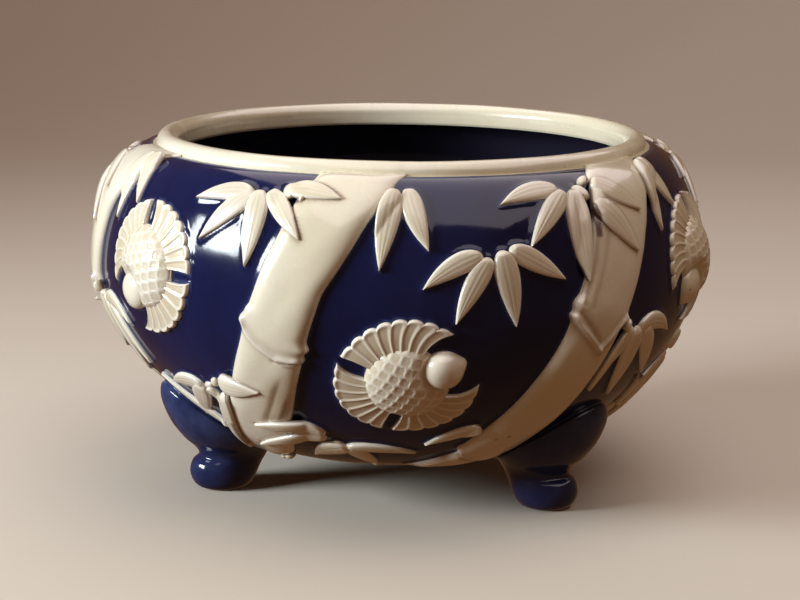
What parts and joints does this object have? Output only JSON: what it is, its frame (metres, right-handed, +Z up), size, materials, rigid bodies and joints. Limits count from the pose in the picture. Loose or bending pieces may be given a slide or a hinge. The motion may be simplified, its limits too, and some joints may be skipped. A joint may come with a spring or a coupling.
{
  "type": "footed cachepot",
  "caption": "Round footed ceramic cachepot in deep blue glaze, with a rolled lip and bamboo canes, leaves and sparrows in ivory relief.",
  "frame": {"origin": "on the floor, under the middle of the pot", "axes": "+Z up along the pot's axis; -Y towards the camera's side; +X to that side's right"},
  "size_m": [0.3635, 0.364, 0.2074],
  "materials": {
    "bowl_glaze": "glossy deep cobalt glaze",
    "lip_glaze": "glossy warm ivory glaze",
    "foot_glaze": "glossy deep cobalt glaze",
    "cane_glaze": "glossy warm ivory glaze",
    "sparrow_glaze": "glossy warm ivory glaze",
    "leaf_glaze": "glossy warm ivory glaze"
  },
  "bodies": {
    "root": {"bowl": "bowl_glaze", "lip_ring": "lip_glaze", "foot_1": "foot_glaze", "foot_2": "foot_glaze", "foot_3": "foot_glaze", "tall_cane_1": "cane_glaze", "bent_cane_1": "cane_glaze", "tall_cane_2": "cane_glaze", "bent_cane_2": "cane_glaze", "tall_cane_3": "cane_glaze", "bent_cane_3": "cane_glaze", "sparrow_1_breast": "sparrow_glaze", "sparrow_1_head": "sparrow_glaze", "sparrow_1_wings": "sparrow_glaze", "sparrow_1_tail": "sparrow_glaze", "sparrow_2_breast": "sparrow_glaze", "sparrow_2_head": "sparrow_glaze", "sparrow_2_wings": "sparrow_glaze", "sparrow_2_tail": "sparrow_glaze", "sparrow_3_breast": "sparrow_glaze", "sparrow_3_head": "sparrow_glaze", "sparrow_3_wings": "sparrow_glaze", "sparrow_3_tail": "sparrow_glaze", "sparrow_4_breast": "sparrow_glaze", "sparrow_4_head": "sparrow_glaze", "sparrow_4_wings": "sparrow_glaze", "sparrow_4_tail": "sparrow_glaze", "sparrow_5_breast": "sparrow_glaze", "sparrow_5_head": "sparrow_glaze", "sparrow_5_wings": "sparrow_glaze", "sparrow_5_tail": "sparrow_glaze", "sparrow_6_breast": "sparrow_glaze", "sparrow_6_head": "sparrow_glaze", "sparrow_6_wings": "sparrow_glaze", "sparrow_6_tail": "sparrow_glaze", "leaves_1_shoulder": "leaf_glaze", "leaves_1_pair": "leaf_glaze", "leaves_1_middle": "leaf_glaze", "leaves_1_lip": "leaf_glaze", "leaves_1_side": "leaf_glaze", "leaves_1_waist": "leaf_glaze", "leaves_1_root": "leaf_glaze", "leaves_1_creeping": "leaf_glaze", "leaves_2_shoulder": "leaf_glaze", "leaves_2_pair": "leaf_glaze", "leaves_2_middle": "leaf_glaze", "leaves_2_lip": "leaf_glaze", "leaves_2_side": "leaf_glaze", "leaves_2_waist": "leaf_glaze", "leaves_2_root": "leaf_glaze", "leaves_2_creeping": "leaf_glaze", "leaves_3_shoulder": "leaf_glaze", "leaves_3_pair": "leaf_glaze", "leaves_3_middle": "leaf_glaze", "leaves_3_lip": "leaf_glaze", "leaves_3_side": "leaf_glaze", "leaves_3_waist": "leaf_glaze", "leaves_3_root": "leaf_glaze", "leaves_3_creeping": "leaf_glaze"}
  },
  "joints": []
}
